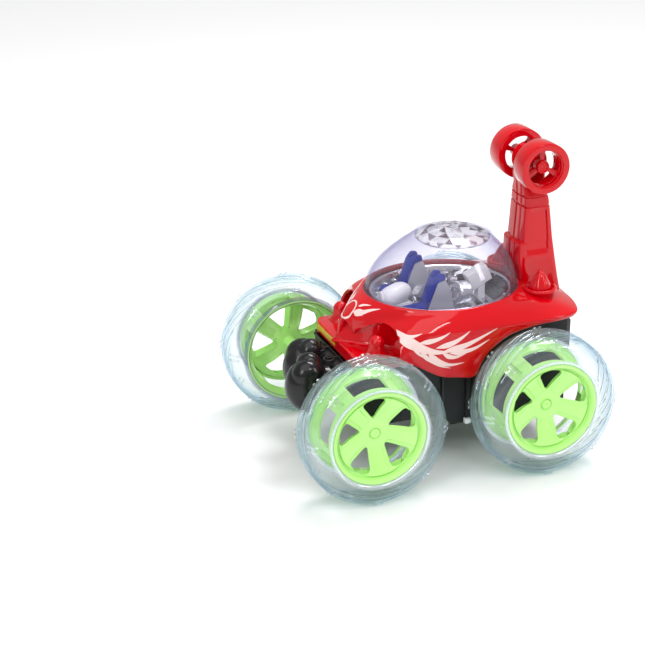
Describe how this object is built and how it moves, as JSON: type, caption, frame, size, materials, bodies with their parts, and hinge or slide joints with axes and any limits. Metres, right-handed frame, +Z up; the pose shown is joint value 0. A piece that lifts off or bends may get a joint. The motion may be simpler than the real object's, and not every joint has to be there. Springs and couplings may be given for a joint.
{
  "type": "rc stunt car",
  "caption": "Remote control stunt car with big clear hollow tyres, lime rims, a clear dome over a two-seat cockpit, boxing glove bumpers and a tail tower with rollers.",
  "frame": {"origin": "on the ground, midway between the front and rear axles and between the left and right tyres", "axes": "+X forwards to the boxing gloves, +Y to the car's left, +Z up"},
  "size_m": [0.234, 0.198, 0.2222],
  "materials": {
    "body_red": "glossy moulded red",
    "chassis_black": "satin black moulding",
    "glove_black": "soft gloss black",
    "rim_lime": "lime green moulding",
    "clear_tyre": "clear soft vinyl with a cool tint",
    "clear_dome": "clear moulding",
    "clear_lens": "clear faceted moulding",
    "silver_trim": "vacuum metallised silver",
    "seat_grey": "silver grey paint",
    "seat_blue": "deep blue",
    "steel": "zinc plated",
    "black_steel": "blackened",
    "gear_plastic": "natural nylon",
    "dark_grey": "dark grey moulding",
    "white_plastic": "white moulding",
    "board_green": "soldermask green",
    "battery_wrap": "shrink wrap",
    "switch_red": "red knob"
  },
  "bodies": {
    "root": {"chassis_tub": "chassis_black", "chassis_cover": "chassis_black", "battery_door": "chassis_black", "bottom_screws": "steel", "body_shell": "body_red", "tower_left": "body_red", "tower_right": "body_red", "roller_axle": "steel", "roller_screws": "steel", "dome": "clear_dome", "dome_lens": "clear_lens", "cockpit_tub": "silver_trim", "seat_left": "seat_grey", "seat_right": "seat_grey", "seat_pads": "seat_blue", "console": "silver_trim", "steering_wheel": "silver_trim", "air_filter": "silver_trim", "engine_block": "dark_grey", "led_module": "white_plastic", "nose_lamp_left": "body_red", "nose_lamp_right": "body_red", "tail_lamp_left": "body_red", "tail_lamp_right": "body_red", "front_bracket": "chassis_black", "bracket_screws": "black_steel", "glove_left": "glove_black", "glove_right": "glove_black", "front_axle": "steel", "front_axle_screws": "steel", "axle_bushes": "gear_plastic", "gearbox_left": "dark_grey", "gearbox_right": "dark_grey", "gear_pins": "steel", "motor_left": "steel", "motor_right": "steel", "circuit_board": "board_green", "speaker": "dark_grey", "battery_pack": "battery_wrap", "charge_socket": "dark_grey", "switch_body": "dark_grey"},
    "wheel_front_left": {"rim_front_left": "rim_lime", "tyre_front_left": "clear_tyre"},
    "wheel_front_right": {"rim_front_right": "rim_lime", "tyre_front_right": "clear_tyre"},
    "wheel_rear_left": {"rim_rear_left": "rim_lime", "tyre_rear_left": "clear_tyre", "half_axle_left": "steel", "axle_gear_left": "gear_plastic"},
    "wheel_rear_right": {"rim_rear_right": "rim_lime", "tyre_rear_right": "clear_tyre", "half_axle_right": "steel", "axle_gear_right": "gear_plastic"},
    "cluster_left": {"cluster_gear_left": "gear_plastic"},
    "cluster_right": {"cluster_gear_right": "gear_plastic"},
    "motor_pinion_left": {"pinion_left": "gear_plastic"},
    "motor_pinion_right": {"pinion_right": "gear_plastic"},
    "tail_roller_left": {"roller_left": "body_red"},
    "tail_roller_right": {"roller_right": "body_red"},
    "power_switch": {"switch_knob": "switch_red"}
  },
  "joints": [
    {"name": "front_wheel_left_spin", "type": "hinge", "parent": "root", "child": "wheel_front_left", "pos_m": [0.065, 0.0815, 0.052], "axis": [0, 1, 0], "continuous": true},
    {"name": "front_wheel_right_spin", "type": "hinge", "parent": "root", "child": "wheel_front_right", "pos_m": [0.065, -0.0815, 0.052], "axis": [0, 1, 0], "continuous": true},
    {"name": "rear_wheel_left_spin", "type": "hinge", "parent": "root", "child": "wheel_rear_left", "pos_m": [-0.065, 0.0815, 0.052], "axis": [0, 1, 0], "continuous": true},
    {"name": "cluster_left_spin", "type": "hinge", "parent": "root", "child": "cluster_left", "pos_m": [-0.04088, 0.037, 0.052], "axis": [0, 1, 0], "continuous": true},
    {"name": "motor_left_spin", "type": "hinge", "parent": "root", "child": "motor_pinion_left", "pos_m": [-0.02076, 0.034, 0.052], "axis": [0, 1, 0], "continuous": true},
    {"name": "rear_wheel_right_spin", "type": "hinge", "parent": "root", "child": "wheel_rear_right", "pos_m": [-0.065, -0.0815, 0.052], "axis": [0, 1, 0], "continuous": true},
    {"name": "cluster_right_spin", "type": "hinge", "parent": "root", "child": "cluster_right", "pos_m": [-0.04088, -0.037, 0.052], "axis": [0, 1, 0], "continuous": true},
    {"name": "motor_right_spin", "type": "hinge", "parent": "root", "child": "motor_pinion_right", "pos_m": [-0.02076, -0.034, 0.052], "axis": [0, 1, 0], "continuous": true},
    {"name": "tail_roller_left_spin", "type": "hinge", "parent": "root", "child": "tail_roller_left", "pos_m": [-0.0886, 0.0194, 0.2037], "axis": [0, 1, 0], "continuous": true},
    {"name": "tail_roller_right_spin", "type": "hinge", "parent": "root", "child": "tail_roller_right", "pos_m": [-0.0886, -0.0194, 0.2037], "axis": [0, 1, 0], "continuous": true},
    {"name": "power_switch_slide", "type": "slide", "parent": "root", "child": "power_switch", "axis": [1, 0, 0], "range_m": [0, 0.004]}
  ],
  "couplings": [
    {"joint": "cluster_left_spin", "follows": "rear_wheel_left_spin", "ratio": -3},
    {"joint": "motor_left_spin", "follows": "rear_wheel_left_spin", "ratio": 9},
    {"joint": "cluster_right_spin", "follows": "rear_wheel_right_spin", "ratio": -3},
    {"joint": "motor_right_spin", "follows": "rear_wheel_right_spin", "ratio": 9}
  ]
}
